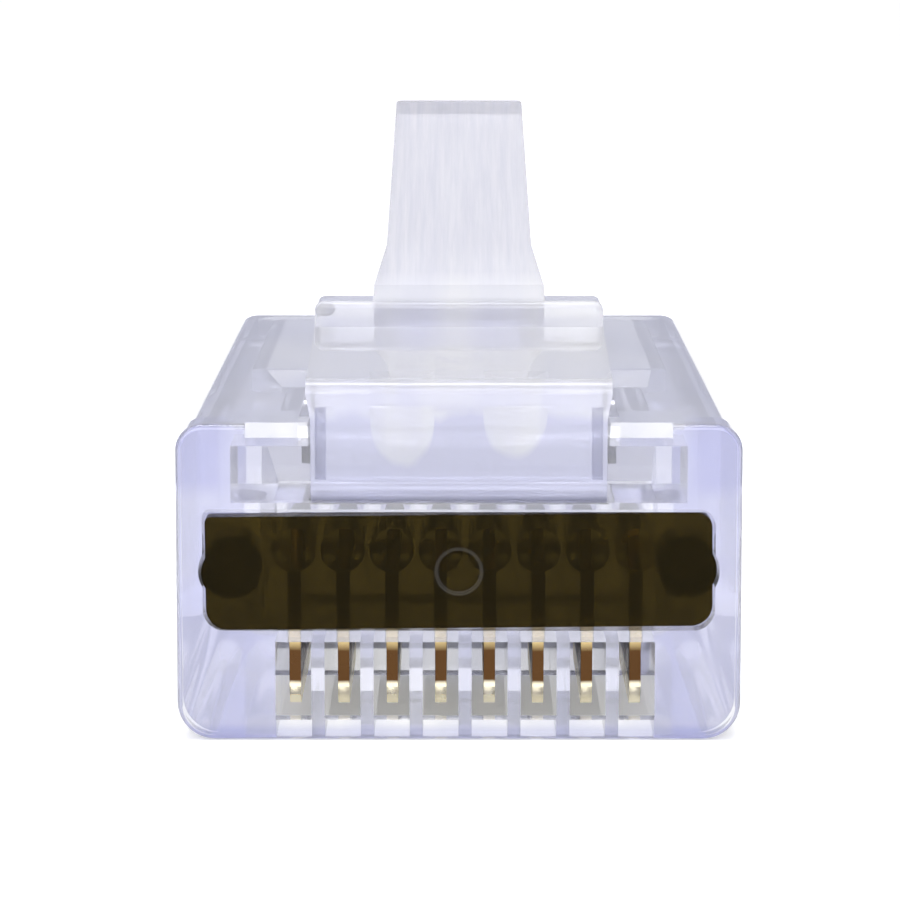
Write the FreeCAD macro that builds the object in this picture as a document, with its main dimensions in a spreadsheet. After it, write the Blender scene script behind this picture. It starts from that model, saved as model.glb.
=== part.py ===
import FreeCAD, Part
import os
import Sketcher

# Modular plug, eight contacts, with a cap over its wire holes. Millimetres, latch side up, nose towards -Y.

FRONT, TOP, SIDE = "XZ_Plane", "XY_Plane", "YZ_Plane"

doc = FreeCAD.newDocument("modular_plug")

# ---- driving dimensions: one value each, in millimetres or degrees ----
dimensions = {
    # outer form of the housing
    "body_width": 11.68, "body_height": 6.6, "body_length": 21.46,
    "upper_radius": 0.56, "lower_radius": 0.78,
    "collar_length": 1.2, "collar_step": 0.07, "collar_rise": 0.02, "nose_round": 0.12,
    "bevel_width": 8.8, "bevel_size": 0.28,
    # hinge well that opens at the nose on both sides of the latch root
    "well_side_wall": 1.14, "well_floor_drop": 1.63, "well_skin": 0.45, "well_depth": 2.7,
    # channel in the top face that the pressed latch sinks into
    "channel_drop": 1.2, "channel_end": 9.1, "channel_ramp": 1.6, "channel_clearance": 0.13,
    # cable chamber behind, throat and wire holes in front of it
    "chamber_side_wall": 1.04, "chamber_floor": 0.9, "chamber_skin": 0.75, "chamber_start": 10.5,
    "chamber_radius": 0.35, "mouth_bevel": 0.4,
    "throat_start": 8.2, "throat_margin": 0.12,
    "wire_wall": 0.096, "wire_drop": 2.7,
    # contacts: insulation-piercing blades, seated
    "contact_count": 8, "row_side_margin": 2.284, "row_offset": 0.13,
    "blade_thickness": 0.24, "blade_front": 0.9, "blade_length": 5.6, "blade_base": 0.52,
    "blade_shoulder": 2.75, "blade_nose_radius": 0.42, "blade_clearance": 0.02,
    "tooth_height": 1.45, "tooth_width": 1.0, "tooth_tip": 0.24, "tooth_spacing": 2.9,
    "tooth_setback": 0.75,
    # comb of ribs between the contacts
    "comb_rib": 0.276, "comb_depth": 2.06, "lip_height": 0.42, "lip_depth": 0.45, "comb_tail": 0.35,
    # shallow cored pocket between the contacts and the strain relief
    "pocket_width": 7.6, "pocket_start": 7.7, "pocket_length": 2.6, "pocket_depth": 0.75,
    # latch
    "root_width": 6.1, "root_thickness": 1.2, "pivot_drop": 1.08, "root_rise": 0.9,
    "shoulder_rise": 0.6, "root_flare": 0.5, "flare_radius": 0.8,
    "root_round": 0.3, "notch_clearance": 0.05, "pivot_clearance": 0.04,
    "lever_overhang": 0.1, "lever_widening": 0.06, "lever_reach": 7.0, "lever_rise": 0.35,
    "lever_lift": 0.15, "lever_end_lift": 0.35,
    "catch_length": 1.4, "catch_rise": 1.82, "catch_round": 0.16, "catch_end_round": 0.22,
    "tab_rise": 2.05, "tab_root_width": 3.83, "tab_neck_width": 3.32, "tab_tip_width": 3.04,
    "tab_neck": 1.8, "tab_run": 8.8, "tab_angle": 22.8, "tab_thickness": 0.85, "tab_round": 0.12,
    "groove_spread": 5.69, "groove_width": 0.23, "groove_depth": 0.35, "groove_drop": 1.15,
    "groove_length": 1.5,
    "gusset_spread": 2.38, "gusset_drop": 0.55, "gusset_width": 0.7, "gusset_top_width": 1.5,
    "gusset_round": 0.3, "gusset_length": 0.9,
    # cap over the wire holes
    "cap_side_margin": 0.61, "cap_height": 2.36, "cap_thickness": 0.5, "cap_drop": 3.06,
    "cap_left_radius": 0.12, "cap_right_radius": 0.3, "cap_foot_radius": 0.45,
    "cap_clearance": 0.06, "peg_radius": 0.6, "peg_length": 2.0, "peg_inset": 0.51,
    "gate_radius": 0.43, "gate_line": 0.07, "gate_depth": 0.04, "gate_dot": 0.1,
    # strain-relief bar in its window
    "bar_side_margin": 1.3, "bar_start": 12.2, "bar_length": 3.85, "bar_hinge": 0.85, "bar_foot": 0.1,
    "bar_crest": 1.35, "bar_side_clearance": 0.06, "bar_hinge_clearance": 0.04, "bar_end_gap": 0.3,
    # how far a cutting outline runs past the faces it cuts
    "overshoot": 1.0,
}

sheet = doc.addObject("Spreadsheet::Sheet", "sizes")
for row, (name, value) in enumerate(dimensions.items(), start=1):
    sheet.set(f"A{row}", name)
    sheet.set(f"B{row}", str(value))
    sheet.setAlias(f"B{row}", name)
doc.recompute()

# ---- places that several pieces share, as expressions ----
nose = "-sizes.body_length / 2"
cap_end = "(sizes.body_width / 2 - sizes.cap_side_margin)"
peg_place = f"({cap_end} - sizes.peg_inset)"
chamber_side = "(sizes.body_width / 2 - sizes.chamber_side_wall)"
bar_side = f"({chamber_side} - sizes.bar_side_margin)"
well_side = "(sizes.body_width / 2 - sizes.well_side_wall)"
well_floor = "(sizes.body_height - sizes.well_floor_drop)"
well_roof = "(sizes.body_height - sizes.well_skin)"
channel_floor = "(sizes.body_height - sizes.channel_drop)"
chamber_roof = "(sizes.body_height - sizes.chamber_skin)"
root_pivot = "(sizes.body_height - sizes.pivot_drop)"
root_top = "(sizes.body_height + sizes.root_rise)"
root_shoulder = "(sizes.body_height + sizes.shoulder_rise)"
lever_underside = "(sizes.body_height + sizes.lever_lift)"
lever_end_underside = "(sizes.body_height + sizes.lever_end_lift)"
catch_top = "(sizes.body_height + sizes.catch_rise)"
tab_root_height = "(sizes.body_height + sizes.tab_rise)"
groove_foot = "(sizes.body_height - sizes.groove_drop)"
gusset_foot = "(sizes.body_height - sizes.gusset_drop)"
cap_centre = "(sizes.body_height - sizes.cap_drop)"
wire_height = "(sizes.body_height - sizes.wire_drop)"
pitch = "((sizes.body_width - 2 * sizes.row_side_margin) / (sizes.contact_count - 1))"
wire_radius = f"(({pitch} - sizes.wire_wall) / 2)"
lever_side = "(sizes.root_width / 2 + sizes.lever_overhang)"
lever_end_side = f"({lever_side} + sizes.lever_widening)"


def behind_nose(distance):
    """Y of a place that lies the given distance behind the nose face."""
    return f"{nose} + {distance}"


# ---- small helpers around the sketcher and the features ----
def make_body(name):
    body = doc.addObject("PartDesign::Body", name)
    body.Label = name
    return body


def make_sketch(body, name, role, lift=None):
    """Sketch on an origin plane of the body, lifted along the plane's normal."""
    sketch = body.newObject("Sketcher::SketchObject", name)
    plane = next(item for item in body.Origin.OriginFeatures if item.Role == role)
    sketch.AttachmentSupport = [(plane, "")]
    sketch.MapMode = "FlatFace"
    if lift is not None:
        sketch.setExpression("AttachmentOffset.Base.z", lift)
    return sketch


def place(sketch, item, end, along, up):
    """Pin one point of the sketch at two distances from the origin."""
    for kind, distance in (("DistanceX", along), ("DistanceY", up)):
        index = sketch.addConstraint(Sketcher.Constraint(kind, -1, 1, item, end, 1.0))
        sketch.setExpression(f"Constraints[{index}]", distance)


def add_outline(sketch, corners):
    """Closed outline through corners given as pairs of expressions."""
    count = len(corners)
    first = sketch.GeometryCount
    for turn in range(count):
        ends = []
        for step in (turn, turn + 1):
            arm = FreeCAD.Rotation(FreeCAD.Vector(0, 0, 1), 360.0 * step / count)
            ends.append(arm.multVec(FreeCAD.Vector(5, 0, 0)))
        sketch.addGeometry(Part.LineSegment(ends[0], ends[1]), False)
    for turn in range(count):
        after = first + (turn + 1) % count
        sketch.addConstraint(Sketcher.Constraint("Coincident", first + turn, 2, after, 1))
    for turn, (along, up) in enumerate(corners):
        place(sketch, first + turn, 1, along, up)


def add_rectangle(sketch, left, right, low, high):
    add_outline(sketch, [(left, low), (right, low), (right, high), (left, high)])


def add_circle(sketch, along, up, radius):
    centre = FreeCAD.Vector(1, 1, 0)
    item = sketch.addGeometry(Part.Circle(centre, FreeCAD.Vector(0, 0, 1), 0.5), False)
    place(sketch, item, 3, along, up)
    index = sketch.addConstraint(Sketcher.Constraint("Radius", item, 0.5))
    sketch.setExpression(f"Constraints[{index}]", radius)


def extrude(body, kind, name, sketch, length, reverse=False, centred=False):
    """Pad or Pocket of a sketch; it must change the volume the way its kind says."""
    doc.recompute()
    before = body.Shape.Volume if body.Tip else 0.0
    feature = body.newObject(f"PartDesign::{kind}", name)
    feature.Profile = sketch
    feature.setExpression("Length", length)
    feature.Reversed = reverse
    feature.Midplane = centred
    doc.recompute()
    change = feature.Shape.Volume - before
    if (change > 0) != (kind == "Pad"):
        raise RuntimeError(f"{name} leaves the volume as it was")
    return feature


def pad(body, name, sketch, length, **options):
    return extrude(body, "Pad", name, sketch, length, **options)


def pocket(body, name, sketch, length, **options):
    return extrude(body, "Pocket", name, sketch, length, **options)


def repeat_along_row(body, name, features):
    """Copies of the features along the contact row, one for each contact."""
    row = body.newObject("PartDesign::LinearPattern", name)
    row.Originals = features
    axis = next(item for item in body.Origin.OriginFeatures if item.Role == "X_Axis")
    row.Direction = (axis, [""])
    row.setExpression("Length", f"(sizes.contact_count - 1) * {pitch}")
    row.setExpression("Occurrences", "sizes.contact_count")
    body.Tip = row
    doc.recompute()


def dress_edges(body, kind, name, choose, size):
    """Fillet or Chamfer on the edges for which choose(edge) holds."""
    doc.recompute()
    base = body.Tip
    names = []
    for number, edge in enumerate(base.Shape.Edges, start=1):
        if choose(edge):
            names.append(f"Edge{number}")
    if not names:
        raise RuntimeError(f"{name} finds no edge")
    feature = body.newObject(f"PartDesign::{kind}", name)
    feature.Base = (base, names)
    feature.setExpression("Radius" if kind == "Fillet" else "Size", size)
    doc.recompute()


def edge_test(tolerance=0.02, **limits):
    """Test that an edge lies in the given limits, such as y=-3 or x=(1, 2)."""
    def choose(edge):
        box = edge.BoundBox
        ranges = {"x": (box.XMin, box.XMax), "y": (box.YMin, box.YMax), "z": (box.ZMin, box.ZMax)}
        for axis, limit in limits.items():
            low, high = limit if isinstance(limit, tuple) else (limit, limit)
            if ranges[axis][0] < low - tolerance or ranges[axis][1] > high + tolerance:
                return False
        return True
    return choose


def value(name):
    return float(sheet.get(name))


def below_top(drop):
    return value("body_height") - value(drop)


def above_top(rise):
    return value("body_height") + value(rise)


nose_face = -value("body_length") / 2

# ---- housing ----
housing = make_body("housing")

shell = make_sketch(housing, "shell_outline", FRONT, "sizes.body_length / 2")
add_rectangle(shell, "-sizes.body_width / 2 + sizes.collar_step", "sizes.body_width / 2 - sizes.collar_step",
              "0", "sizes.body_height - sizes.collar_rise")
pad(housing, "shell", shell, "sizes.body_length", reverse=True)
shell_side = value("body_width") / 2 - value("collar_step")
shell_top = value("body_height") - value("collar_rise")
for side in (-1, 1):
    end = "left" if side < 0 else "right"
    dress_edges(housing, "Fillet", f"shell_top_{end}",
                edge_test(x=side * shell_side, z=shell_top), "sizes.upper_radius")
    dress_edges(housing, "Fillet", f"shell_foot_{end}",
                edge_test(x=side * shell_side, z=0.0), "sizes.lower_radius")

collar = make_sketch(housing, "collar_outline", FRONT, "sizes.body_length / 2")
add_rectangle(collar, "-sizes.body_width / 2", "sizes.body_width / 2", "0", "sizes.body_height")
pad(housing, "collar", collar, "sizes.collar_length", reverse=True)
for side in (-1, 1):
    end = "left" if side < 0 else "right"
    collar_side = side * value("body_width") / 2
    dress_edges(housing, "Fillet", f"collar_top_{end}",
                edge_test(x=collar_side, z=value("body_height")), "sizes.upper_radius")
    dress_edges(housing, "Fillet", f"collar_foot_{end}",
                edge_test(x=collar_side, z=0.0), "sizes.lower_radius")
dress_edges(housing, "Fillet", "nose_rounding", edge_test(y=nose_face), "sizes.nose_round")

bevel = make_sketch(housing, "nose_bevel_outline", SIDE)
add_outline(bevel, [(nose, "sizes.body_height - sizes.bevel_size"),
                    (behind_nose("sizes.bevel_size"), "sizes.body_height"),
                    (behind_nose("sizes.bevel_size"), "sizes.body_height + sizes.overshoot"),
                    (behind_nose("-sizes.overshoot"), "sizes.body_height + sizes.overshoot"),
                    (behind_nose("-sizes.overshoot"), "sizes.body_height - sizes.bevel_size")])
pocket(housing, "nose_bevel", bevel, "sizes.bevel_width", centred=True)

well = make_sketch(housing, "hinge_well_outline", FRONT, "sizes.body_length / 2")
add_rectangle(well, f"-{well_side}", well_side, well_floor, well_roof)
pocket(housing, "hinge_well", well, "sizes.well_depth")

channel = make_sketch(housing, "latch_channel_outline", SIDE)
add_outline(channel, [(behind_nose("sizes.root_thickness"), well_floor),
                      (behind_nose("sizes.well_depth"), well_floor),
                      (behind_nose("sizes.well_depth"), channel_floor),
                      (behind_nose("sizes.channel_end"), channel_floor),
                      (behind_nose("sizes.channel_end + sizes.channel_ramp"), "sizes.body_height"),
                      (behind_nose("sizes.channel_end + sizes.channel_ramp"),
                       "sizes.body_height + sizes.overshoot"),
                      (behind_nose("sizes.root_thickness"), "sizes.body_height + sizes.overshoot")])
pocket(housing, "latch_channel", channel, f"2 * {lever_end_side} + 2 * sizes.channel_clearance",
       centred=True)

notch = make_sketch(housing, "root_notch_outline", SIDE)
add_outline(notch, [(behind_nose("-sizes.overshoot"), well_floor),
                    (behind_nose("sizes.root_thickness + sizes.root_round"), well_floor),
                    (behind_nose("sizes.root_thickness + sizes.root_round"),
                     "sizes.body_height + sizes.overshoot"),
                    (behind_nose("-sizes.overshoot"), "sizes.body_height + sizes.overshoot")])
pocket(housing, "root_notch", notch, "sizes.root_width + 2 * sizes.notch_clearance", centred=True)

seat = make_sketch(housing, "hinge_seat_outline", SIDE)
add_circle(seat, behind_nose("sizes.root_thickness / 2"), root_pivot,
           "sizes.root_thickness / 2 + sizes.pivot_clearance")
pocket(housing, "hinge_seat", seat, "sizes.root_width + 2 * sizes.notch_clearance", centred=True)

recess = make_sketch(housing, "cap_recess_outline", FRONT, "sizes.body_length / 2")
add_rectangle(recess,
              f"-{cap_end} - sizes.cap_clearance", f"{cap_end} + sizes.cap_clearance",
              f"{cap_centre} - sizes.cap_height / 2 - sizes.cap_clearance",
              f"{cap_centre} + sizes.cap_height / 2 + sizes.cap_clearance")
pocket(housing, "cap_recess", recess, "sizes.cap_thickness + sizes.blade_clearance")
cap_half_length = value("body_width") / 2 - value("cap_side_margin")
recess_side = cap_half_length + value("cap_clearance")
recess_foot = below_top("cap_drop") - value("cap_height") / 2 - value("cap_clearance")
recess_top = below_top("cap_drop") + value("cap_height") / 2 + value("cap_clearance")
recess_depth = (nose_face, nose_face + value("cap_thickness") + value("blade_clearance"))
for name, side, height, radius in (("recess_left", -1, recess_top, "cap_left_radius"),
                                   ("recess_right", 1, recess_top, "cap_right_radius"),
                                   ("recess_foot_left", -1, recess_foot, "cap_foot_radius"),
                                   ("recess_foot_right", 1, recess_foot, "cap_foot_radius")):
    dress_edges(housing, "Fillet", name,
                edge_test(x=side * recess_side, z=height, y=recess_depth), f"sizes.{radius}")

sockets = make_sketch(housing, "peg_socket_outlines", FRONT, "sizes.body_length / 2")
for side in ("-", ""):
    add_circle(sockets, f"{side}{peg_place}", cap_centre,
               "sizes.peg_radius + sizes.cap_clearance")
pocket(housing, "peg_sockets", sockets,
       "sizes.cap_thickness + sizes.peg_length + sizes.cap_clearance")

chamber = make_sketch(housing, "cable_chamber_outline", FRONT, "-sizes.body_length / 2")
add_rectangle(chamber, f"-{chamber_side}", chamber_side, "sizes.chamber_floor", chamber_roof)
pocket(housing, "cable_chamber", chamber, "sizes.body_length - sizes.chamber_start", reverse=True)
chamber_half_width = value("body_width") / 2 - value("chamber_side_wall")
chamber_reach = (nose_face + value("chamber_start"), -nose_face)
for name, height in (("floor", value("chamber_floor")), ("roof", below_top("chamber_skin"))):
    for side in (-1, 1):
        end = "left" if side < 0 else "right"
        dress_edges(housing, "Fillet", f"chamber_{name}_{end}",
                    edge_test(x=side * chamber_half_width, z=height, y=chamber_reach),
                    "sizes.chamber_radius")
inside_chamber = (-chamber_half_width, chamber_half_width)
dress_edges(housing, "Chamfer", "chamber_mouth",
            edge_test(x=inside_chamber, y=-nose_face,
                      z=(value("chamber_floor"), below_top("chamber_skin"))), "sizes.mouth_bevel")

row_half = "(sizes.body_width / 2 - sizes.row_side_margin)"
throat_back = make_sketch(housing, "throat_back", FRONT, f"-({nose} + sizes.chamber_start)")
add_rectangle(throat_back, f"-{chamber_side} + sizes.chamber_radius",
              f"{chamber_side} - sizes.chamber_radius",
              "sizes.chamber_floor + sizes.chamber_radius", f"{chamber_roof} - sizes.chamber_radius")
throat_front = make_sketch(housing, "throat_front", FRONT, f"-({nose} + sizes.throat_start)")
reach = f"({row_half} + {wire_radius} + sizes.throat_margin)"
add_rectangle(throat_front, f"sizes.row_offset - {reach}", f"sizes.row_offset + {reach}",
              f"{wire_height} - {wire_radius} - sizes.throat_margin",
              f"{wire_height} + {wire_radius} + sizes.throat_margin")
doc.recompute()
before = housing.Shape.Volume
throat = housing.newObject("PartDesign::SubtractiveLoft", "throat")
throat.Profile = throat_back
throat.Sections = [throat_front]
throat.Ruled = True
doc.recompute()
if housing.Shape.Volume >= before:
    raise RuntimeError("throat cuts nothing")

first_contact = f"sizes.row_offset - {row_half}"
wire_hole = make_sketch(housing, "wire_hole_outline", FRONT, "sizes.body_length / 2")
add_circle(wire_hole, first_contact, wire_height, wire_radius)
wire_cut = pocket(housing, "wire_hole", wire_hole, "sizes.throat_start + sizes.throat_margin")

comb_end = "sizes.blade_front + sizes.blade_length + sizes.comb_tail"
comb = make_sketch(housing, "comb_gap_outline", SIDE, first_contact)
add_outline(comb, [(behind_nose("-sizes.overshoot"), "sizes.lip_height"),
                   (behind_nose("sizes.lip_depth"), "sizes.lip_height"),
                   (behind_nose("sizes.lip_depth"), "-sizes.overshoot"),
                   (behind_nose(comb_end), "-sizes.overshoot"),
                   (behind_nose(comb_end), "sizes.comb_depth"),
                   (behind_nose("-sizes.overshoot"), "sizes.comb_depth")])
comb_cut = pocket(housing, "comb_gap", comb, f"{pitch} - sizes.comb_rib", centred=True)

slit = make_sketch(housing, "blade_slit_outline", SIDE, first_contact)
add_rectangle(slit, behind_nose("sizes.blade_front - sizes.blade_clearance"),
              behind_nose("sizes.blade_front + sizes.blade_length + sizes.blade_clearance"),
              "sizes.comb_depth - sizes.blade_clearance",
              "sizes.blade_shoulder + sizes.tooth_height + sizes.blade_clearance")
slit_cut = pocket(housing, "blade_slit", slit, "sizes.blade_thickness + 2 * sizes.blade_clearance",
                  centred=True)
repeat_along_row(housing, "contact_row", [wire_cut, comb_cut, slit_cut])

cored = make_sketch(housing, "cored_pocket_outline", TOP)
add_rectangle(cored, "-sizes.pocket_width / 2", "sizes.pocket_width / 2",
              behind_nose("sizes.pocket_start"), behind_nose("sizes.pocket_start + sizes.pocket_length"))
pocket(housing, "cored_pocket", cored, "sizes.pocket_depth", reverse=True)

window = make_sketch(housing, "bar_window_outline", TOP)
add_rectangle(window, f"-{bar_side} - sizes.bar_side_clearance",
              f"{bar_side} + sizes.bar_side_clearance",
              behind_nose("sizes.bar_start - sizes.bar_hinge_clearance"),
              behind_nose("sizes.bar_start + sizes.bar_length + sizes.bar_end_gap"))
pocket(housing, "bar_window", window, "sizes.chamber_floor + sizes.chamber_radius", reverse=True)

# ---- latch: root plate, lever, catch and thumb tab in one moulding ----
latch = make_body("latch")

lever = make_sketch(latch, "lever_outline", SIDE)
add_outline(lever, [(nose, root_pivot),
                    (behind_nose("sizes.root_thickness"), root_pivot),
                    (behind_nose("sizes.root_thickness"), lever_underside),
                    (behind_nose("sizes.lever_reach"), lever_end_underside),
                    (behind_nose("sizes.lever_reach + sizes.catch_length"), lever_end_underside),
                    (behind_nose("sizes.lever_reach + sizes.catch_length"), catch_top),
                    (behind_nose("sizes.lever_reach"), catch_top),
                    (behind_nose("sizes.lever_reach"), f"{root_top} + sizes.lever_rise"),
                    (nose, root_top)])
pad(latch, "lever", lever, f"2 * {lever_end_side}", centred=True)

foot = make_sketch(latch, "hinge_foot_outline", SIDE)
add_circle(foot, behind_nose("sizes.root_thickness / 2"), root_pivot, "sizes.root_thickness / 2")
pad(latch, "hinge_foot", foot, "sizes.root_width", centred=True)

flanks = make_sketch(latch, "root_flank_outlines", FRONT, "sizes.body_length / 2")
for side in ("-", ""):
    add_outline(flanks, [(f"{side}sizes.root_width / 2", f"{root_pivot} - sizes.root_thickness"),
                         (f"{side}({lever_side} + sizes.overshoot)",
                          f"{root_pivot} - sizes.root_thickness"),
                         (f"{side}({lever_side} + sizes.overshoot)", root_shoulder),
                         (f"{side}{lever_side}", root_shoulder),
                         (f"{side}sizes.root_width / 2", f"{root_shoulder} - sizes.root_flare")])
pocket(latch, "root_flanks", flanks, "sizes.root_thickness + sizes.root_round")
for name, side in (("root_flare_left", -1), ("root_flare_right", 1)):
    dress_edges(latch, "Fillet", name,
                edge_test(x=side * value("root_width") / 2,
                          z=above_top("shoulder_rise") - value("root_flare")),
                "sizes.flare_radius")

taper = make_sketch(latch, "lever_taper_outlines", TOP)
for side in ("-", ""):
    outside = f"{side}({lever_end_side} + sizes.overshoot)"
    add_outline(taper, [(f"{side}{lever_side}", behind_nose("-sizes.overshoot")),
                        (outside, behind_nose("-sizes.overshoot")),
                        (outside, behind_nose("sizes.lever_reach")),
                        (f"{side}{lever_end_side}", behind_nose("sizes.lever_reach")),
                        (f"{side}{lever_side}", behind_nose("sizes.root_thickness"))])
pocket(latch, "lever_taper", taper, f"2 * {catch_top}", reverse=True)

front_edge = (nose_face - 0.01, nose_face + 0.01)
dress_edges(latch, "Fillet", "root_rounding",
            edge_test(y=front_edge, z=above_top("root_rise")), "sizes.root_round")
catch_front = nose_face + value("lever_reach")
catch_back = catch_front + value("catch_length")
catch_side = value("root_width") / 2 + value("lever_overhang") + value("lever_widening")
for name, side in (("catch_end_left", -1), ("catch_end_right", 1)):
    dress_edges(latch, "Fillet", name,
                edge_test(x=side * catch_side, y=(catch_front, catch_back),
                          z=above_top("catch_rise")), "sizes.catch_end_round")
for name, face in (("catch_front_rounding", catch_front), ("catch_back_rounding", catch_back)):
    dress_edges(latch, "Fillet", name, edge_test(y=face, z=above_top("catch_rise")), "sizes.catch_round")

tab_start = "sizes.lever_reach + sizes.catch_length"
tab_end = f"{tab_start} + sizes.tab_run + sizes.tab_thickness"
slope = "sizes.tab_angle * 1 deg"
tab = make_sketch(latch, "tab_outline", SIDE)
add_outline(tab, [(behind_nose(f"{tab_start} - sizes.catch_length / 2"),
                   f"{catch_top} - sizes.tab_thickness"),
                  (behind_nose(f"{tab_start} + sizes.tab_thickness * sin({slope})"),
                   f"{tab_root_height} - sizes.tab_thickness * cos({slope})"),
                  (behind_nose(f"{tab_start} + sizes.tab_run + sizes.tab_thickness * sin({slope})"),
                   f"{tab_root_height} + sizes.tab_run * tan({slope})"
                   f" - sizes.tab_thickness * cos({slope})"),
                  (behind_nose(f"{tab_start} + sizes.tab_run"),
                   f"{tab_root_height} + sizes.tab_run * tan({slope})"),
                  (behind_nose(tab_start), tab_root_height),
                  (behind_nose("sizes.lever_reach + sizes.catch_round"), catch_top),
                  (behind_nose("sizes.lever_reach + sizes.catch_round"),
                   f"{catch_top} - sizes.tab_thickness / 2")])
pad(latch, "tab", tab, "sizes.tab_root_width", centred=True)

tab_sides = make_sketch(latch, "tab_side_outlines", TOP)
for side in ("-", ""):
    add_outline(tab_sides, [(f"{side}sizes.tab_root_width / 2", behind_nose(tab_start)),
                            (f"{side}sizes.tab_root_width", behind_nose(tab_start)),
                            (f"{side}sizes.tab_root_width", behind_nose(tab_end)),
                            (f"{side}sizes.tab_tip_width / 2", behind_nose(tab_end)),
                            (f"{side}sizes.tab_neck_width / 2",
                             behind_nose(f"{tab_start} + sizes.tab_neck"))])
pocket(latch, "tab_sides", tab_sides, f"{tab_root_height} + sizes.tab_run", reverse=True)

grooves = make_sketch(latch, "root_groove_outlines", FRONT, "sizes.body_length / 2")
for side in ("-", ""):
    add_rectangle(grooves, f"{side}(sizes.groove_spread - sizes.groove_width) / 2",
                  f"{side}(sizes.groove_spread + sizes.groove_width) / 2",
                  groove_foot, f"{groove_foot} + sizes.groove_length")
pocket(latch, "root_grooves", grooves, "sizes.groove_depth")

gussets = make_sketch(latch, "gusset_outlines", FRONT, f"-({nose} + sizes.root_thickness)")
for side in ("-", ""):
    middle = f"{side}sizes.gusset_spread / 2"
    add_outline(gussets, [(f"{middle} - sizes.gusset_top_width / 2", lever_end_underside),
                          (f"{middle} - sizes.gusset_width / 2", gusset_foot),
                          (f"{middle} + sizes.gusset_width / 2", gusset_foot),
                          (f"{middle} + sizes.gusset_top_width / 2", lever_end_underside)])
pad(latch, "gussets", gussets, "sizes.gusset_length", reverse=True)
root_back = nose_face + value("root_thickness")
for name, side, half in (("gusset_left_outer", -1, -1), ("gusset_left_inner", -1, 1),
                         ("gusset_right_inner", 1, -1), ("gusset_right_outer", 1, 1)):
    dress_edges(latch, "Fillet", name,
                edge_test(x=side * value("gusset_spread") / 2 + half * value("gusset_width") / 2,
                          y=(root_back, root_back + value("gusset_length")), z=below_top("gusset_drop")),
                "sizes.gusset_round")
tab_back = catch_back + value("tab_run")
dress_edges(latch, "Fillet", "tab_tip_rounding",
            lambda edge: abs(edge.BoundBox.YMin - tab_back) < 0.5 and edge.BoundBox.XLength < 0.2
            and edge.BoundBox.ZMin > above_top("catch_rise"), "sizes.tab_round")

# ---- cap over the wire holes: plate and two pegs, drawn about the plate's centre ----
cap = make_body("front_cap")
plate = make_sketch(cap, "plate_outline", FRONT)
add_rectangle(plate, f"-{cap_end}", cap_end, "-sizes.cap_height / 2", "sizes.cap_height / 2")
pad(cap, "plate", plate, "sizes.cap_thickness", reverse=True)
for name, side, height, radius in (("plate_left", -1, 1, "cap_left_radius"),
                                   ("plate_right", 1, 1, "cap_right_radius"),
                                   ("plate_foot_left", -1, -1, "cap_foot_radius"),
                                   ("plate_foot_right", 1, -1, "cap_foot_radius")):
    dress_edges(cap, "Fillet", name,
                edge_test(x=side * cap_half_length, z=height * value("cap_height") / 2),
                f"sizes.{radius}")
pegs = make_sketch(cap, "peg_outlines", FRONT)
for side in ("-", ""):
    add_circle(pegs, f"{side}{peg_place}", "0", "sizes.peg_radius")
pad(cap, "pegs", pegs, "sizes.cap_thickness + sizes.peg_length", reverse=True)
gate = make_sketch(cap, "gate_mark_outline", FRONT)
add_circle(gate, "0", "0", "sizes.gate_radius + sizes.gate_line / 2")
add_circle(gate, "0", "0", "sizes.gate_radius - sizes.gate_line / 2")
pocket(cap, "gate_mark", gate, "sizes.gate_depth")
dot = make_sketch(cap, "gate_dot_outline", FRONT)
add_circle(dot, "0", "0", "sizes.gate_dot")
pocket(cap, "gate_dot", dot, "sizes.gate_depth")
cap.setExpression("Placement.Base.y", nose)
cap.setExpression("Placement.Base.z", cap_centre)
# the cap leans as far as four fifths of its clearance lets it
cap.Placement.Rotation = FreeCAD.Rotation(FreeCAD.Vector(0, -1, 0), 1)
cap.setExpression("Placement.Rotation.Angle",
                  f"asin(0.8 * sizes.cap_clearance / {cap_end})")

# ---- contacts ----
contacts = []
for number in range(1, dimensions["contact_count"] + 1):
    blade = make_body(f"contact_{number}")
    outline = make_sketch(blade, f"blade_outline_{number}", SIDE)
    shoulder = "sizes.blade_shoulder"
    corners = [(behind_nose("sizes.blade_front"), "sizes.blade_base"),
               (behind_nose("sizes.blade_front + sizes.blade_length"), "sizes.blade_base"),
               (behind_nose("sizes.blade_front + sizes.blade_length"), shoulder)]
    for tooth in (1, 0):
        start = f"sizes.blade_front + sizes.tooth_setback + {tooth} * sizes.tooth_spacing"
        tip = f"{shoulder} + sizes.tooth_height"
        corners += [(behind_nose(f"{start} + sizes.tooth_width"), shoulder),
                    (behind_nose(f"{start} + (sizes.tooth_width + sizes.tooth_tip) / 2"), tip),
                    (behind_nose(f"{start} + (sizes.tooth_width - sizes.tooth_tip) / 2"), tip),
                    (behind_nose(start), shoulder)]
    corners.append((behind_nose("sizes.blade_front"), shoulder))
    add_outline(outline, corners)
    pad(blade, f"blade_{number}", outline, "sizes.blade_thickness", centred=True)
    dress_edges(blade, "Fillet", f"blade_rounding_{number}",
                lambda edge: edge.BoundBox.YLength < 0.01 and edge.BoundBox.ZLength < 0.01
                and abs(edge.BoundBox.ZMin - value("blade_base")) < 0.01, "sizes.blade_nose_radius")
    blade.setExpression("Placement.Base.x", f"{first_contact} + {number - 1} * {pitch}")
    contacts.append(blade)

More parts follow.
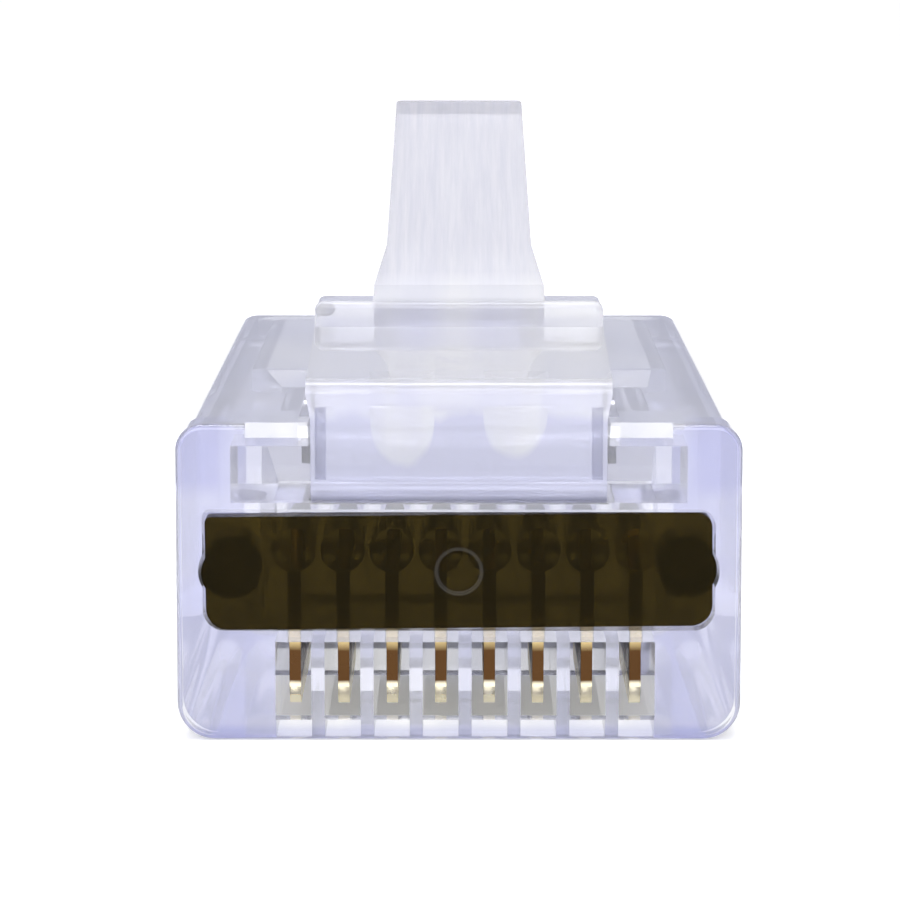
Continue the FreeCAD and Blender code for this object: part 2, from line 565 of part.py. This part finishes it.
# ---- strain-relief bar ----
bar = make_body("jacket_anchor")
wedge = make_sketch(bar, "bar_outline", SIDE)
add_outline(wedge, [(behind_nose("sizes.bar_start"), "sizes.bar_foot"),
                    (behind_nose("sizes.bar_start + sizes.bar_length"), "sizes.bar_foot"),
                    (behind_nose("sizes.bar_start + sizes.bar_length"), "sizes.bar_crest"),
                    (behind_nose("sizes.bar_start + sizes.bar_length * 0.8"), "sizes.bar_crest"),
                    (behind_nose("sizes.bar_start + sizes.bar_length * 0.5"), "sizes.bar_hinge"),
                    (behind_nose("sizes.bar_start"), "sizes.bar_hinge")])
pad(bar, "bar", wedge, f"2 * {bar_side}", centred=True)

# ---- checks and files ----
doc.recompute()
for item in doc.Objects:
    if "Invalid" in item.State or "Error" in item.State:
        raise RuntimeError(f"{item.Name} failed: {item.State}")
os.makedirs("parts", exist_ok=True)
for body in [housing, latch, cap, *contacts, bar]:
    if body.Shape.isNull() or not body.Shape.isValid() or len(body.Shape.Solids) != 1:
        raise RuntimeError(f"{body.Label} is not one valid solid")
    body.Shape.exportStep(f"parts/{body.Label}.step")
    print(body.Label, round(body.Shape.Volume, 3), body.Shape.BoundBox)
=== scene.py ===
import math
import bpy
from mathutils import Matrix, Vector


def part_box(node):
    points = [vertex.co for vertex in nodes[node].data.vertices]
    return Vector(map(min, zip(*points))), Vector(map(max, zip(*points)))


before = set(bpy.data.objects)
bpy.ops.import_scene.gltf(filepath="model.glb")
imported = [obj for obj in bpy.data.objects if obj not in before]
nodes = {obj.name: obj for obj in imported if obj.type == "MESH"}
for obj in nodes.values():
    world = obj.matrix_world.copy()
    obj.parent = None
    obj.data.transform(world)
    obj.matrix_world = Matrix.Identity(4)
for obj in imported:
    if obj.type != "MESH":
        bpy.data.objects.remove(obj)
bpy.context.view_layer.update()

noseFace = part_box("housing")[0].y
print("frame loaded")


def newMaterial(name):
    material = bpy.data.materials.new(name)
    material.use_nodes = True
    tree = material.node_tree
    return material, tree, tree.nodes["Principled BSDF"]


def newGroup(name, inputs, outputs):
    # inputs are (name, kind, start value) rows, and outputs are (name, kind) rows
    group = bpy.data.node_groups.new(name, "ShaderNodeTree")
    for label, kind, start in inputs:
        socket = group.interface.new_socket(label, in_out="INPUT", socket_type=f"NodeSocket{kind}")
        socket.default_value = start
    for label, kind in outputs:
        group.interface.new_socket(label, in_out="OUTPUT", socket_type=f"NodeSocket{kind}")
    return group, group.nodes.new("NodeGroupInput"), group.nodes.new("NodeGroupOutput")


def placeGroup(tree, group, values):
    node = tree.nodes.new("ShaderNodeGroup")
    node.node_tree = group
    for label, value in values.items():
        node.inputs[label].default_value = value
    return node


def mathNode(tree, operation, first, second=None):
    # first and second are sockets or plain numbers
    node = tree.nodes.new("ShaderNodeMath")
    node.operation = operation
    for slot, source in enumerate((first, second)):
        if isinstance(source, (int, float)):
            node.inputs[slot].default_value = source
        elif source is not None:
            tree.links.new(source, node.inputs[slot])
    return node.outputs[0]


def rangeNode(tree, source, low, high, toLow, toHigh):
    node = tree.nodes.new("ShaderNodeMapRange")
    tree.links.new(source, node.inputs["Value"])
    for label, value in (("From Min", low), ("From Max", high), ("To Min", toLow), ("To Max", toHigh)):
        node.inputs[label].default_value = value
    return node.outputs["Result"]


def stepNode(tree, source, level, blend, before=0.0, after=1.0):
    # changes from before to after where the source passes the level, softly over blend on either side
    return rangeNode(tree, source, level - blend, level + blend, before, after)


def mixColours(tree, factor, first, second):
    # first and second are sockets or plain colours
    node = tree.nodes.new("ShaderNodeMix")
    node.data_type = "RGBA"
    for label, source in ((0, factor), (6, first), (7, second)):
        if isinstance(source, tuple):
            node.inputs[label].default_value = source
        else:
            tree.links.new(source, node.inputs[label])
    return node.outputs[2]


def splitPlace(tree, kind="Object"):
    # X, Y and Z of the point that is shaded, in metres for the Object kind
    place = tree.nodes.new("ShaderNodeTexCoord")
    split = tree.nodes.new("ShaderNodeSeparateXYZ")
    tree.links.new(place.outputs[kind], split.inputs[0])
    return split.outputs


def addNoise(tree, vector, scale, detail, roughness=0.5):
    noise = tree.nodes.new("ShaderNodeTexNoise")
    noise.inputs["Detail"].default_value = detail
    noise.inputs["Roughness"].default_value = roughness
    tree.links.new(vector, noise.inputs["Vector"])
    tree.links.new(scale, noise.inputs["Scale"])
    return noise


def dress(thing, material):
    thing.data.materials.clear()
    thing.data.materials.append(material)


# Flow lines that the melt leaves in moulded plastic: a soft swell, and fine streaks along it
flowEffect = {
    "scale": 300.0, "stretch": (1.0, 0.15, 1.0), "swirl": 0.4,
    "softDetail": 3.0, "softRoughness": 0.5, "fineDetail": 4.0, "fineRoughness": 0.7,
    "fineTimes": 5.0, "streakLow": 0.35, "streakHigh": 0.65,
}


def makeFlowGroup():
    look = flowEffect
    group, entry, leave = newGroup(
        "mouldFlow",
        [("Scale", "Float", look["scale"]), ("Stretch", "Vector", look["stretch"]),
         ("Swirl", "Float", look["swirl"])],
        [("Height", "Float"), ("Streaks", "Float")])
    place = group.nodes.new("ShaderNodeTexCoord")
    drawn = group.nodes.new("ShaderNodeVectorMath")
    drawn.operation = "MULTIPLY"
    group.links.new(place.outputs["Object"], drawn.inputs[0])
    group.links.new(entry.outputs["Stretch"], drawn.inputs[1])
    scale = entry.outputs["Scale"]
    soft = addNoise(group, drawn.outputs[0], scale, look["softDetail"], look["softRoughness"])
    group.links.new(entry.outputs["Swirl"], soft.inputs["Distortion"])
    fineScale = mathNode(group, "MULTIPLY", scale, look["fineTimes"])
    fine = addNoise(group, drawn.outputs[0], fineScale, look["fineDetail"], look["fineRoughness"])
    streaks = rangeNode(group, fine.outputs["Fac"], look["streakLow"], look["streakHigh"], 0.0, 1.0)
    group.links.new(soft.outputs["Fac"], leave.inputs["Height"])
    group.links.new(streaks, leave.inputs["Streaks"])
    return group


# Small scuffs from handling: thin broken lines. Each direction has its turn in radians and its stretch,
# and tilt says what share of the turn goes about X, Y and Z
scuffEffect = {
    "scale": 400.0, "amount": 0.5, "directions": ((0.4, 0.08), (2.2, 0.06)), "tilt": (0.5, 1.0, 1.7),
    "detail": 1.0, "lineLow": 0.66, "lineHigh": 0.72,
}


def makeScuffGroup():
    look = scuffEffect
    group, entry, leave = newGroup(
        "handlingScuffs",
        [("Scale", "Float", look["scale"]), ("Amount", "Float", look["amount"])],
        [("Mask", "Float"), ("Height", "Float")])
    place = group.nodes.new("ShaderNodeTexCoord")
    lines = None
    for turn, stretch in look["directions"]:
        turned = group.nodes.new("ShaderNodeMapping")
        turned.inputs["Rotation"].default_value = [turn * share for share in look["tilt"]]
        turned.inputs["Scale"].default_value = (1.0, stretch, 1.0)
        group.links.new(place.outputs["Object"], turned.inputs["Vector"])
        noise = addNoise(group, turned.outputs["Vector"], entry.outputs["Scale"], look["detail"])
        line = rangeNode(group, noise.outputs["Fac"], look["lineLow"], look["lineHigh"], 0.0, 1.0)
        lines = line if lines is None else mathNode(group, "MAXIMUM", lines, line)
    mask = mathNode(group, "MULTIPLY", lines, entry.outputs["Amount"])
    group.links.new(mask, leave.inputs["Mask"])
    group.links.new(mathNode(group, "SUBTRACT", 1.0, mask), leave.inputs["Height"])
    return group


# Dust and finger marks: patches a little duller than the rest
hazeEffect = {
    "scale": 150.0, "low": 0.1, "high": 0.3,
    "detail": 5.0, "roughness": 0.6, "patchLow": 0.38, "patchHigh": 0.66,
}


def makeHazeGroup():
    look = hazeEffect
    group, entry, leave = newGroup(
        "dullPatches",
        [("Scale", "Float", look["scale"]), ("Low", "Float", look["low"]), ("High", "Float", look["high"])],
        [("Roughness", "Float")])
    place = group.nodes.new("ShaderNodeTexCoord")
    scale = entry.outputs["Scale"]
    noise = addNoise(group, place.outputs["Object"], scale, look["detail"], look["roughness"])
    patches = rangeNode(group, noise.outputs["Fac"], look["patchLow"], look["patchHigh"], 0.0, 1.0)
    spread = group.nodes.new("ShaderNodeMapRange")
    group.links.new(patches, spread.inputs["Value"])
    group.links.new(entry.outputs["Low"], spread.inputs["To Min"])
    group.links.new(entry.outputs["High"], spread.inputs["To Max"])
    group.links.new(spread.outputs["Result"], leave.inputs["Roughness"])
    return group


flowGroup = makeFlowGroup()
scuffGroup = makeScuffGroup()
hazeGroup = makeHazeGroup()
print("shared effects made")


def addBump(tree, shader, heights, depth):
    # heights are (socket, strength) pairs, stacked on one another
    normal = None
    for height, strength in heights:
        bump = tree.nodes.new("ShaderNodeBump")
        bump.inputs["Distance"].default_value = depth
        bump.inputs["Strength"].default_value = strength
        tree.links.new(height, bump.inputs["Height"])
        if normal is not None:
            tree.links.new(normal, bump.inputs["Normal"])
        normal = bump.outputs["Normal"]
    tree.links.new(normal, shader.inputs["Normal"])


def addTint(tree, colour, density):
    inside = tree.nodes.new("ShaderNodeVolumeAbsorption")
    inside.inputs["Color"].default_value = colour
    inside.inputs["Density"].default_value = density
    tree.links.new(inside.outputs[0], tree.nodes["Material Output"].inputs["Volume"])


# Milky polycarbonate of the housing, the strain-relief bar and the latch; thick places turn lavender.
# depth is the bump's height in metres
housingPlastic = {
    "pale": (0.99, 0.99, 0.99, 1), "deep": (0.84, 0.85, 0.93, 1), "flowLow": 0.35, "flowHigh": 0.65,
    "clearness": 0.78, "ior": 1.5, "coat": 0.4, "coatRoughness": 0.04,
    "low": 0.03, "high": 0.1, "hazeScale": 260.0,
    "tint": (0.36, 0.38, 0.92, 1), "tintDensity": 30.0,
    "flowScale": 620.0, "stretch": (1.0, 0.35, 0.8), "flowStrength": 0.12, "depth": 0.00003,
    "scuffScale": 700.0, "scuffAmount": 1.0, "scuffDulling": 0.08,
}
latchPlastic = dict(
    housingPlastic, pale=(0.985, 0.985, 1.0, 1), deep=(0.90, 0.905, 0.985, 1),
    clearness=0.62, ior=1.36, tintDensity=40.0, flowScale=420.0, stretch=(2.2, 0.12, 0.4))


def makeMilkyPlastic(name, look):
    material, tree, shader = newMaterial(name)
    flow = placeGroup(tree, flowGroup, {"Scale": look["flowScale"], "Stretch": look["stretch"]})
    scuff = placeGroup(tree, scuffGroup, {"Scale": look["scuffScale"], "Amount": look["scuffAmount"]})
    haze = placeGroup(tree, hazeGroup, {"Scale": look["hazeScale"], "Low": look["low"], "High": look["high"]})
    blend = rangeNode(tree, flow.outputs["Height"], look["flowLow"], look["flowHigh"], 0.0, 1.0)
    tree.links.new(mixColours(tree, blend, look["pale"], look["deep"]), shader.inputs["Base Color"])
    rubbed = mathNode(tree, "MULTIPLY", scuff.outputs["Mask"], look["scuffDulling"])
    tree.links.new(mathNode(tree, "ADD", haze.outputs["Roughness"], rubbed), shader.inputs["Roughness"])
    shader.inputs["Transmission Weight"].default_value = look["clearness"]
    shader.inputs["IOR"].default_value = look["ior"]
    shader.inputs["Coat Weight"].default_value = look["coat"]
    shader.inputs["Coat Roughness"].default_value = look["coatRoughness"]
    addBump(tree, shader, [(flow.outputs["Height"], look["flowStrength"])], look["depth"])
    addTint(tree, look["tint"], look["tintDensity"])
    return material


def paintOver(material, mask, colour):
    # the colour covers the flowed one where the mask is 1
    tree = material.node_tree
    shader = tree.nodes["Principled BSDF"]
    flowed = shader.inputs["Base Color"].links[0].from_socket
    tree.links.new(mixColours(tree, mask, flowed, colour), shader.inputs["Base Color"])


# The solid blocks beside the nose's sunk panel are painted a deeper lavender near the front; lengths in
# metres
noseCorners = {
    "from": 0.0048, "above": 0.0052, "deepTo": 0.0012, "blend": 0.0002, "colour": (0.70, 0.71, 0.88, 1),
}


def paintCorners(material):
    look = noseCorners
    tree = material.node_tree
    place = splitPlace(tree)
    sideways = mathNode(tree, "ABSOLUTE", place["X"])
    outer = stepNode(tree, sideways, look["from"], look["blend"])
    upper = stepNode(tree, place["Z"], look["above"], look["blend"])
    front = stepNode(tree, place["Y"], noseFace + look["deepTo"], look["blend"], 1.0, 0.0)
    block = mathNode(tree, "MULTIPLY", mathNode(tree, "MULTIPLY", outer, upper), front)
    paintOver(material, block, look["colour"])


# The nose's lowest edge stays in its own shade and reads a little deeper; lengths in metres
noseFoot = {"below": 0.0002, "deepTo": 0.0003, "blend": 0.00015, "colour": (0.62, 0.63, 0.82, 1)}


def paintUnderside(material):
    look = noseFoot
    tree = material.node_tree
    place = splitPlace(tree)
    back = noseFace + look["deepTo"]
    low = rangeNode(tree, place["Z"], look["below"], look["below"] + look["blend"], 1.0, 0.0)
    front = rangeNode(tree, place["Y"], back, back + look["blend"], 1.0, 0.0)
    paintOver(material, mathNode(tree, "MULTIPLY", low, front), look["colour"])


# Two paler lobes come down the latch's foot over deeper lavender: painted light, for the gussets behind the
# foot seen through its clear plastic. The greyer thumb tab above is drawn long, so it shows fine lengthwise
# streaks; lengths in metres
latchFootPaintedLightAndTab = {
    "lobeFromMiddle": 0.00116, "lobeHalfWidth": 0.00066, "lobeDepth": 0.0009, "paleFrom": 0.00674,
    "softness": 0.0001, "clear": (0.80, 0.81, 0.955, 1),
    "ragged": 0.00022, "raggedScale": 600.0, "raggedStretch": (1.0, 1.0, 0.6),
    "raggedLow": 0.3, "raggedHigh": 0.7,
    "tabFrom": 0.0087, "tabBlend": 0.0002,
    "tabPale": (0.81, 0.81, 0.87, 1), "tabDeep": (0.72, 0.72, 0.80, 1),
    "tabScale": 420.0, "tabStretch": (3.0, 0.12, 0.12), "tabSwirl": 0.1,
}


def paintFootLightAndTab(material):
    look = latchFootPaintedLightAndTab
    tree = material.node_tree
    shader = tree.nodes["Principled BSDF"]
    place = splitPlace(tree)
    sideways = mathNode(tree, "ABSOLUTE", place["X"])
    # painted light: the flowed, paler colour reaches down in two lobes into the lavender below, for the
    # gussets seen through the foot
    away = mathNode(tree, "ABSOLUTE", mathNode(tree, "SUBTRACT", sideways, look["lobeFromMiddle"]))
    inside = rangeNode(tree, away, 0.0, look["lobeHalfWidth"], 0.0, 1.0)
    lobe = mathNode(tree, "SQRT", mathNode(tree, "SUBTRACT", 1.0, mathNode(tree, "POWER", inside, 2.0)))
    edge = mathNode(tree, "SUBTRACT", look["paleFrom"], mathNode(tree, "MULTIPLY", lobe, look["lobeDepth"]))
    flow = placeGroup(tree, flowGroup, {"Scale": look["raggedScale"], "Stretch": look["raggedStretch"]})
    ragged = rangeNode(
        tree, flow.outputs["Height"], look["raggedLow"], look["raggedHigh"], -look["ragged"], look["ragged"])
    above = mathNode(tree, "SUBTRACT", mathNode(tree, "ADD", place["Z"], ragged), edge)
    pale = stepNode(tree, above, 0.0, look["softness"])
    flowed = shader.inputs["Base Color"].links[0].from_socket
    foot = mixColours(tree, pale, look["clear"], flowed)
    drawn = placeGroup(tree, flowGroup, {
        "Scale": look["tabScale"], "Stretch": look["tabStretch"], "Swirl": look["tabSwirl"]})
    streaks = mixColours(tree, drawn.outputs["Streaks"], look["tabPale"], look["tabDeep"])
    onTab = stepNode(tree, place["Z"], look["tabFrom"], look["tabBlend"])
    tree.links.new(mixColours(tree, onTab, foot, streaks), shader.inputs["Base Color"])


# Smoked polycarbonate of the front cap, with the moulding gate's ring in its middle; lengths in metres
smokedPlastic = {
    "colour": (0.11, 0.078, 0.012, 1), "worn": (0.14, 0.10, 0.02, 1), "wornMost": 0.35,
    "ior": 1.12, "shine": 0.0, "clearness": 0.93,
    "low": 0.1, "high": 0.18, "hazeScale": 300.0,
    "tint": (0.25, 0.18, 0.05, 1), "tintDensity": 1300.0,
    "flowScale": 350.0, "stretch": (0.2, 1.0, 1.0), "flowStrength": 0.15, "depth": 0.00002,
    "scuffScale": 600.0, "scuffAmount": 0.6, "scuffStrength": 0.04,
    "gateRadius": 0.000465, "gateWidth": 0.00005, "gateCore": 0.5, "gateRoughness": 0.1,
}


def polishGate(tree, shader, shine):
    # the rim of the gate mark is polished, so it alone catches the light
    look = smokedPlastic
    low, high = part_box("front_cap")
    place = splitPlace(tree)
    across = mathNode(tree, "SUBTRACT", place["X"], (low.x + high.x) / 2)
    upward = mathNode(tree, "SUBTRACT", place["Z"], (low.z + high.z) / 2)
    acrossSquared = mathNode(tree, "POWER", across, 2.0)
    upwardSquared = mathNode(tree, "POWER", upward, 2.0)
    reach = mathNode(tree, "SQRT", mathNode(tree, "ADD", acrossSquared, upwardSquared))
    away = mathNode(tree, "ABSOLUTE", mathNode(tree, "SUBTRACT", reach, look["gateRadius"]))
    rim = rangeNode(tree, away, look["gateWidth"] * look["gateCore"], look["gateWidth"], 1.0, 0.0)
    tree.links.new(mathNode(tree, "MULTIPLY", rim, shine), shader.inputs["Coat Weight"])
    shader.inputs["Coat Roughness"].default_value = look["gateRoughness"]


def makeSmokedPlastic():
    look = smokedPlastic
    material, tree, shader = newMaterial("smokedPolycarbonate")
    flow = placeGroup(tree, flowGroup, {"Scale": look["flowScale"], "Stretch": look["stretch"]})
    scuff = placeGroup(tree, scuffGroup, {"Scale": look["scuffScale"], "Amount": look["scuffAmount"]})
    haze = placeGroup(tree, hazeGroup, {"Scale": look["hazeScale"], "Low": look["low"], "High": look["high"]})
    blend = rangeNode(tree, flow.outputs["Streaks"], 0.0, 1.0, 0.0, look["wornMost"])
    tree.links.new(mixColours(tree, blend, look["colour"], look["worn"]), shader.inputs["Base Color"])
    tree.links.new(haze.outputs["Roughness"], shader.inputs["Roughness"])
    shader.inputs["IOR"].default_value = look["ior"]
    shader.inputs["Specular IOR Level"].default_value = look["shine"]
    shader.inputs["Transmission Weight"].default_value = look["clearness"]
    swell, scratches = flow.outputs["Height"], scuff.outputs["Height"]
    addBump(tree, shader, [(swell, look["flowStrength"]), (scratches, look["scuffStrength"])], look["depth"])
    polishGate(tree, shader, swell)
    addTint(tree, look["tint"], look["tintDensity"])
    return material


# Contacts: gold plating up to one height, bare bronze above it, and reddish metal higher up. The bronze is
# painted dark brown as painted shade, for the shade in the slots and the dark they mirror; heights in metres
contactGoldAndShade = {
    "bright": (1.0, 0.93, 0.70, 1), "dull": (1.0, 0.86, 0.54, 1), "dullMost": 0.5,
    "flowLow": 0.3, "flowHigh": 0.7,
    "shadedBronze": (0.10, 0.048, 0.018, 1), "reddish": (0.60, 0.46, 0.22, 1),
    "platedTo": 0.00104, "platedBlend": 0.00004, "bronzeTo": 0.0018, "bronzeBlend": 0.0001, "ragged": 0.00008,
    "low": 0.22, "high": 0.4, "hazeScale": 500.0,
    "flowScale": 500.0, "stretch": (1.0, 1.0, 0.2), "flowStrength": 0.1, "depth": 0.00002,
    "scuffScale": 900.0, "scuffAmount": 0.5, "scuffStrength": 0.15,
}


def makeGold():
    look = contactGoldAndShade
    material, tree, shader = newMaterial("goldPlating")
    flow = placeGroup(tree, flowGroup, {"Scale": look["flowScale"], "Stretch": look["stretch"]})
    scuff = placeGroup(tree, scuffGroup, {"Scale": look["scuffScale"], "Amount": look["scuffAmount"]})
    haze = placeGroup(tree, hazeGroup, {"Scale": look["hazeScale"], "Low": look["low"], "High": look["high"]})
    swell, scratches = flow.outputs["Height"], scuff.outputs["Height"]
    blend = rangeNode(tree, swell, look["flowLow"], look["flowHigh"], 0.0, look["dullMost"])
    plated = mixColours(tree, blend, look["bright"], look["dull"])
    ragged = rangeNode(tree, swell, 0.0, 1.0, -look["ragged"], look["ragged"])
    height = mathNode(tree, "ADD", splitPlace(tree)["Z"], ragged)
    above = stepNode(tree, height, look["platedTo"], look["platedBlend"])
    upper = stepNode(tree, height, look["bronzeTo"], look["bronzeBlend"])
    # painted shade: above the plating the bare bronze is painted dark brown, for the slots' shade and the
    # dark they mirror
    bare = mixColours(tree, upper, look["shadedBronze"], look["reddish"])
    tree.links.new(mixColours(tree, above, plated, bare), shader.inputs["Base Color"])
    tree.links.new(haze.outputs["Roughness"], shader.inputs["Roughness"])
    shader.inputs["Metallic"].default_value = 1.0
    addBump(tree, shader, [(swell, look["flowStrength"]), (scratches, look["scuffStrength"])], look["depth"])
    return material


housingMaterial = makeMilkyPlastic("clearPolycarbonateHousing", housingPlastic)
latchMaterial = makeMilkyPlastic("clearPolycarbonateLatch", latchPlastic)
paintFootLightAndTab(latchMaterial)
paintCorners(housingMaterial)
paintUnderside(housingMaterial)
capMaterial = makeSmokedPlastic()
goldMaterial = makeGold()
for name, node in nodes.items():
    if name.startswith("contact_"):
        dress(node, goldMaterial)
    elif name == "front_cap":
        dress(node, capMaterial)
    elif name == "latch":
        dress(node, latchMaterial)
    else:
        dress(node, housingMaterial)
print("materials placed")

# The edges of the stamped contacts and of the moulded bar are never quite sharp: a small bevel catches the
# light along them. Widths and the joining distance in metres, the least bend of a rounded edge in degrees
edgeRound = {"contact": 0.00003, "jacket_anchor": 0.00006, "segments": 2, "join": 0.0000005, "leastBend": 35}


def softenEdges(thing, width):
    # neighbouring faces come with corners of their own, so these are joined before the edges can be rounded
    weld = thing.modifiers.new("joinCorners", "WELD")
    weld.merge_threshold = edgeRound["join"]
    bevel = thing.modifiers.new("softEdges", "BEVEL")
    bevel.width = width
    bevel.segments = edgeRound["segments"]
    bevel.limit_method = "ANGLE"
    bevel.angle_limit = math.radians(edgeRound["leastBend"])
    bevel.use_clamp_overlap = True


softenEdges(nodes["jacket_anchor"], edgeRound["jacket_anchor"])
for name, node in nodes.items():
    if name.startswith("contact_"):
        softenEdges(node, edgeRound["contact"])
print("edges softened")

# The lift brightens the floor to a plain white. Under the object only the groundShade share of it is left, so
# the ground keeps its shade; the fade's two ends are measured outwards from the housing's outline, and as
# they are negative they lie inside it. Lengths in metres
floorLook = {
    "size": 2.0, "drop": 0.00002, "colour": (0.93, 0.935, 0.97, 1), "roughness": 0.7,
    "lift": 0.4, "groundShade": 0.6, "shadeFrom": -0.0008, "shadeTo": -0.0001,
}


def makeFloor():
    look = floorLook
    mesh = bpy.data.meshes.new("studioFloor")
    half = look["size"] / 2
    corners = [(-half, -half, 0), (half, -half, 0), (half, half, 0), (-half, half, 0)]
    mesh.from_pydata(corners, [], [(0, 1, 2, 3)])
    floor = bpy.data.objects.new("studioFloor", mesh)
    bpy.context.scene.collection.objects.link(floor)
    floor.location.z = -look["drop"]
    material, tree, shader = newMaterial("paleFloor")
    shader.inputs["Base Color"].default_value = look["colour"]
    shader.inputs["Roughness"].default_value = look["roughness"]
    shader.inputs["Specular IOR Level"].default_value = 0.0
    shader.inputs["Emission Color"].default_value = (1, 1, 1, 1)
    path = tree.nodes.new("ShaderNodeLightPath")
    # the fade is for the floor seen directly, and its reflections keep the full lift
    low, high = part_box("housing")
    place = splitPlace(tree)
    beside = mathNode(tree, "SUBTRACT", mathNode(tree, "ABSOLUTE", place["X"]), high.x)
    along = mathNode(tree, "ABSOLUTE", mathNode(tree, "SUBTRACT", place["Y"], (low.y + high.y) / 2))
    beyond = mathNode(tree, "MAXIMUM", beside, mathNode(tree, "SUBTRACT", along, (high.y - low.y) / 2))
    bare = rangeNode(tree, beyond, look["shadeFrom"], look["shadeTo"], look["groundShade"], 1.0)
    direct = mathNode(tree, "MULTIPLY", path.outputs["Is Camera Ray"], bare)
    seen = mathNode(tree, "MAXIMUM", direct, path.outputs["Is Glossy Ray"])
    tree.links.new(mathNode(tree, "MULTIPLY", seen, look["lift"]), shader.inputs["Emission Strength"])
    # clear pieces show the floor as the same white as the studio around them
    plain = tree.nodes.new("ShaderNodeEmission")
    choose = tree.nodes.new("ShaderNodeMixShader")
    tree.links.new(path.outputs["Is Transmission Ray"], choose.inputs[0])
    tree.links.new(shader.outputs[0], choose.inputs[1])
    tree.links.new(plain.outputs[0], choose.inputs[2])
    # from below the floor is clear, so the underside can be looked at
    side = tree.nodes.new("ShaderNodeNewGeometry")
    clear = tree.nodes.new("ShaderNodeBsdfTransparent")
    twoSided = tree.nodes.new("ShaderNodeMixShader")
    tree.links.new(side.outputs["Backfacing"], twoSided.inputs[0])
    tree.links.new(choose.outputs[0], twoSided.inputs[1])
    tree.links.new(clear.outputs[0], twoSided.inputs[2])
    tree.links.new(twoSided.outputs[0], tree.nodes["Material Output"].inputs["Surface"])
    dress(floor, material)


# White all round, but for a pale lavender band low around the studio that shows only in reflections;
# dull surfaces are lit at diffuseStrength
surroundLook = {
    "white": (1.0, 1.0, 1.0, 1.0), "band": (0.55, 0.56, 0.68, 1), "bandFrom": 0.1, "bandTo": 0.5,
    "diffuseStrength": 0.65,
}


def makeWorld():
    look = surroundLook
    world = bpy.data.worlds.new("studioWorld")
    bpy.context.scene.world = world
    world.use_nodes = True
    tree = world.node_tree
    back = tree.nodes["Background"]
    rise = rangeNode(tree, splitPlace(tree, "Generated")["Z"], look["bandFrom"], look["bandTo"], 0.0, 1.0)
    banded = mixColours(tree, rise, look["band"], look["white"])
    path = tree.nodes.new("ShaderNodeLightPath")
    glossy = path.outputs["Is Glossy Ray"]
    seen = mathNode(tree, "MAXIMUM", path.outputs["Is Camera Ray"], path.outputs["Is Transmission Ray"])
    seen = mathNode(tree, "MAXIMUM", seen, glossy)
    tree.links.new(rangeNode(tree, seen, 0.0, 1.0, look["diffuseStrength"], 1.0), back.inputs["Strength"])
    tree.links.new(mixColours(tree, glossy, look["white"], banded), back.inputs["Color"])


# Places, targets and sizes in metres, power in watts
softboxes = {
    "overheadBox": {"place": (-0.01, -0.035, 0.20), "target": (0, 0, 0.004), "size": (0.12, 0.07),
                    "power": 0.16},
    "frontBox": {"place": (-0.05, -0.30, 0.12), "target": (0, 0, 0.004), "size": (0.3, 0.2),
                 "power": 0.5},
}


def addSoftbox(name, look):
    lamp = bpy.data.lights.new(name, "AREA")
    lamp.shape = "RECTANGLE"
    lamp.size, lamp.size_y = look["size"]
    lamp.energy = look["power"]
    item = bpy.data.objects.new(name, lamp)
    bpy.context.scene.collection.objects.link(item)
    item.location = look["place"]
    aim = Vector(look["target"]) - Vector(look["place"])
    item.rotation_euler = aim.to_track_quat("-Z", "Y").to_euler()


makeFloor()
makeWorld()
for name, look in softboxes.items():
    addSoftbox(name, look)
print("studio lit")

# Lens and sensor in millimetres, distance before the nose and height in metres, pitch and yaw in degrees
view = {
    "lens": 157.2, "sensor": 36.0, "distance": 0.0799, "height": 0.0173, "pitch": 8.0, "yaw": 0.131,
    "nearest": 0.001,
}
cameraData = bpy.data.cameras.new("camera")
cameraData.lens = view["lens"]
cameraData.sensor_width = view["sensor"]
cameraData.clip_start = view["nearest"]
camera = bpy.data.objects.new("camera", cameraData)
bpy.context.scene.collection.objects.link(camera)
camera.location = (0, noseFace - view["distance"], view["height"])
camera.rotation_euler = (math.radians(90 - view["pitch"]), 0, math.radians(view["yaw"]))
bpy.context.scene.camera = camera
bpy.context.scene.view_settings.view_transform = "Standard"
print("camera placed")

# Limits on how often a ray may bend or bounce, which keep the clear pieces quick to render
bounces = {"transmission": 8, "glossy": 4, "all": 9, "transparent": 6}
cycles = bpy.context.scene.cycles
cycles.transmission_bounces = bounces["transmission"]
cycles.glossy_bounces = bounces["glossy"]
cycles.max_bounces = bounces["all"]
cycles.transparent_max_bounces = bounces["transparent"]
